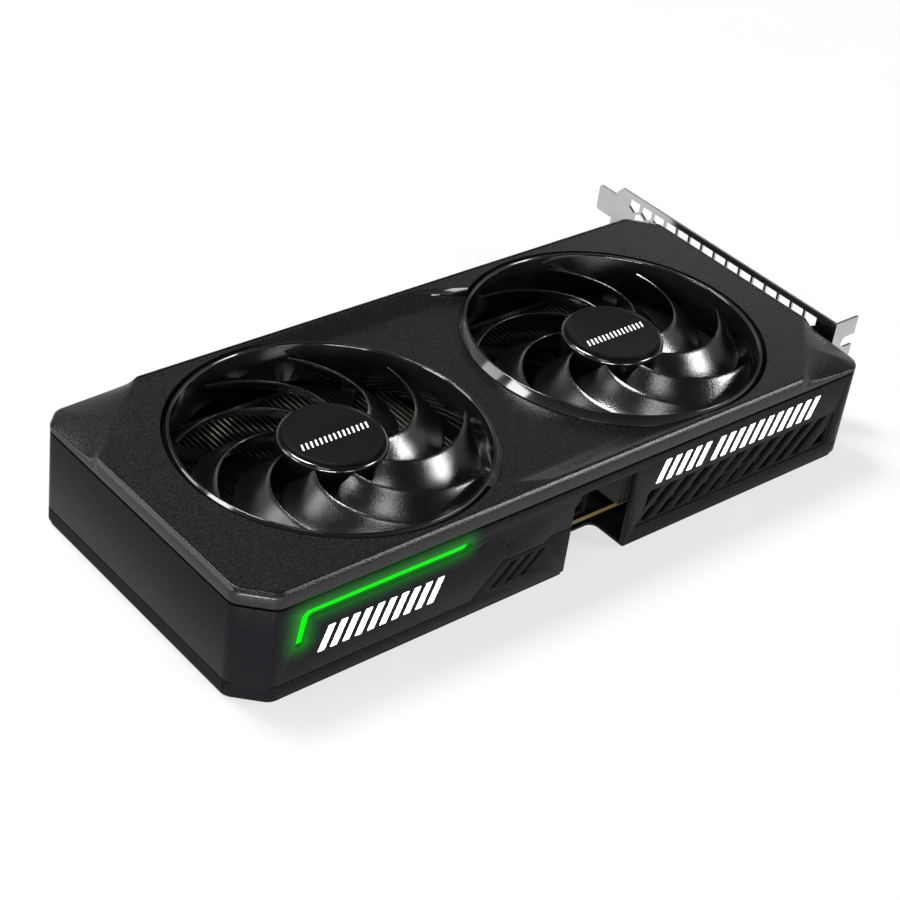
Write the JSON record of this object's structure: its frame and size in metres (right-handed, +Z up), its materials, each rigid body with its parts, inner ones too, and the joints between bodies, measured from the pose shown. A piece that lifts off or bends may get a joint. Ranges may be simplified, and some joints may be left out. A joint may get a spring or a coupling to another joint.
{
  "type": "graphics card",
  "caption": "Two-slot graphics card with two axial fans, textured shroud with a lit bar on its side, finned heatsink, circuit board and slotted steel bracket",
  "frame": {"origin": "under the middle of the whole card, on the plane of its backplate that it rests on", "axes": "+X along the card towards the bracket, +Y towards the edge connector, +Z up, out of the fans"},
  "size_m": [0.2716, 0.1378, 0.0411],
  "materials": {
    "backplate_metal": "matte black coat",
    "black_screw": "black oxide",
    "board": "black solder mask, tan edge",
    "bracket_steel": "satin nickel plate",
    "brass": "turned",
    "bright_screw": "nickel plate",
    "can_aluminium": "bright",
    "carrier": "solder mask",
    "ceramic": "matte",
    "chip_plastic": "moulded epoxy",
    "contact_gold": "gold plate",
    "crystal_steel": "bright",
    "disc_plastic": "satin",
    "fan_plastic": "semi-gloss, finely grained",
    "fin_aluminium": "plain rolled",
    "frame_plastic": "satin",
    "gloss_trim": "glossy",
    "lamp": "lit",
    "lead_plastic": "moulded",
    "light_lens": "lit, translucent",
    "magnet": "matte",
    "motor_board": "solder mask",
    "nickel": "nickel plate",
    "pad": "matte",
    "pin_metal": "tin plate",
    "port_steel": "stamped",
    "satin_plastic": "smooth satin",
    "shaft_steel": "ground",
    "silicon": "polished",
    "socket_plastic": "moulded",
    "spacer_brass": "turned",
    "spring_steel": "bright",
    "textured_plastic": "fine spark-eroded texture, matte",
    "winding": "enamelled"
  },
  "bodies": {
    "card": {"backplate": "backplate_metal", "backplate_screws": "black_screw", "backplate_spacers": "spacer_brass", "bracket": "bracket_steel", "bracket_nuts": "bracket_steel", "bracket_screws": "bright_screw", "capacitors": "can_aluminium", "chip_capacitors": "ceramic", "chip_carrier": "carrier", "circuit_board": "board", "clock_crystal": "crystal_steel", "cold_plate": "nickel", "cooler_screws": "bright_screw", "cooler_springs": "spring_steel", "display_ports": "port_steel", "edge_contacts": "contact_gold", "fan_1_bearing": "brass", "fan_1_board": "motor_board", "fan_1_frame": "frame_plastic", "fan_1_ring": "gloss_trim", "fan_1_stator": "winding", "fan_2_bearing": "brass", "fan_2_board": "motor_board", "fan_2_frame": "frame_plastic", "fan_2_ring": "gloss_trim", "fan_2_stator": "winding", "fan_frame_screws": "black_screw", "fin_rails": "fin_aluminium", "fin_stack_middle": "fin_aluminium", "fin_stack_nose": "fin_aluminium", "fin_stack_tail": "fin_aluminium", "heat_pipes": "nickel", "lamp_strip": "motor_board", "lamps": "lamp", "lead_plugs": "lead_plastic", "lead_sockets": "lead_plastic", "light_bar": "light_lens", "memory_chips": "chip_plastic", "memory_pads": "pad", "port_tongues": "socket_plastic", "power_coils": "chip_plastic", "power_pins": "pin_metal", "power_socket": "socket_plastic", "power_stages": "chip_plastic", "processor_die": "silicon", "side_frame": "satin_plastic", "small_chips": "chip_plastic", "top_cover": "textured_plastic", "wide_port": "port_steel"},
    "fan_1": {"fan_1_rotor": "fan_plastic", "fan_1_disc": "disc_plastic", "fan_1_magnet": "magnet", "fan_1_shaft": "shaft_steel"},
    "fan_2": {"fan_2_rotor": "fan_plastic", "fan_2_disc": "disc_plastic", "fan_2_magnet": "magnet", "fan_2_shaft": "shaft_steel"}
  },
  "joints": [
    {"name": "fan_1_spin", "type": "hinge", "parent": "card", "child": "fan_1", "pos_m": [-0.06617, -0.01356, 0.032], "axis": [0, 0, 1], "continuous": true},
    {"name": "fan_2_spin", "type": "hinge", "parent": "card", "child": "fan_2", "pos_m": [0.05264, -0.01356, 0.032], "axis": [0, 0, 1], "continuous": true}
  ]
}
